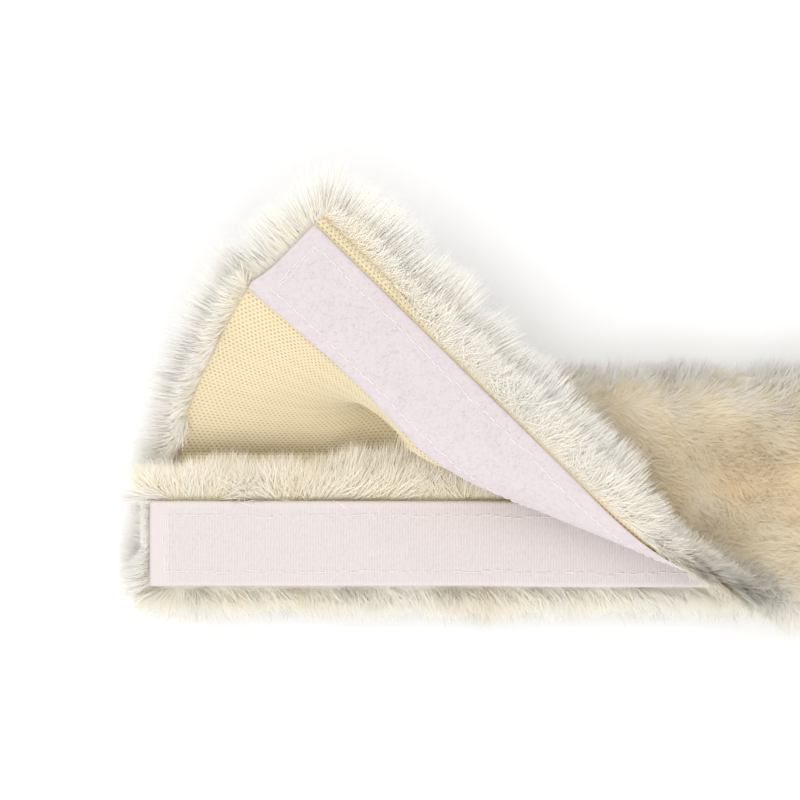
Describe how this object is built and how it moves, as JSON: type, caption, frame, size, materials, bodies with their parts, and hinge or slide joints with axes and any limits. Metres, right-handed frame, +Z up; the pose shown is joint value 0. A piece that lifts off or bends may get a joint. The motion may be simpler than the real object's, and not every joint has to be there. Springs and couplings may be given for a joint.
{
  "type": "fleece girth sleeve",
  "caption": "Flat tube of synthetic sheepskin that slips over a saddle girth, closed along its front by hook and loop tape, shown with one end peeled open.",
  "frame": {"origin": "centre of the bounding box in plan, on the surface that the sleeve lies on", "axes": "+X along the sleeve from its peeled end, +Y across it from the bottom fold to the top fold, +Z up from the table"},
  "size_m": [0.62, 0.1962, 0.0684],
  "materials": {
    "fleece": "deep cream synthetic sheepskin pile",
    "knit": "pale yellow open knit backing",
    "hook": "white hook tape",
    "loop": "white brushed loop tape",
    "thread": "white sewing thread",
    "edge_thread": "grey and white overlocked edge"
  },
  "bodies": {
    "sleeve": {"back_knit": "knit", "back_fleece": "fleece", "top_fold_knit": "knit", "top_fold_fleece": "fleece", "bottom_fold_knit": "knit", "bottom_fold_fleece": "fleece", "lap_knit": "knit", "lap_fleece": "fleece", "lap_edge_stitch": "edge_thread", "hook_tape": "hook", "hook_stitch_lower": "thread", "hook_stitch_upper": "thread", "hook_stitch_left": "thread", "hook_stitch_right": "thread", "front_knit": "knit", "front_fleece": "fleece", "front_edge_stitch": "edge_thread", "front_loop_tape": "loop", "front_loop_stitch_lower": "thread", "front_loop_stitch_upper": "thread", "front_loop_stitch_end": "thread"},
    "roll": {"roll_knit": "knit", "roll_fleece": "fleece"},
    "flap": {"flap_knit": "knit", "flap_fleece": "fleece", "flap_edge_stitch": "edge_thread", "flap_loop_tape": "loop", "flap_loop_stitch_lower": "thread", "flap_loop_stitch_upper": "thread", "flap_loop_stitch_end": "thread"}
  },
  "joints": [
    {"name": "flap_roll", "type": "hinge", "parent": "sleeve", "child": "roll", "pos_m": [-0.05666, -0.0677, 0.03426], "axis": [0.9259, -0.3778, 0], "range_deg": [0, 90]},
    {"name": "flap_turn", "type": "hinge", "parent": "roll", "child": "flap", "pos_m": [-0.05666, -0.0677, 0.06254], "axis": [0.9259, -0.3778, 0], "range_deg": [0, 90]}
  ],
  "couplings": [
    {"joint": "flap_turn", "follows": "flap_roll", "ratio": 1}
  ]
}
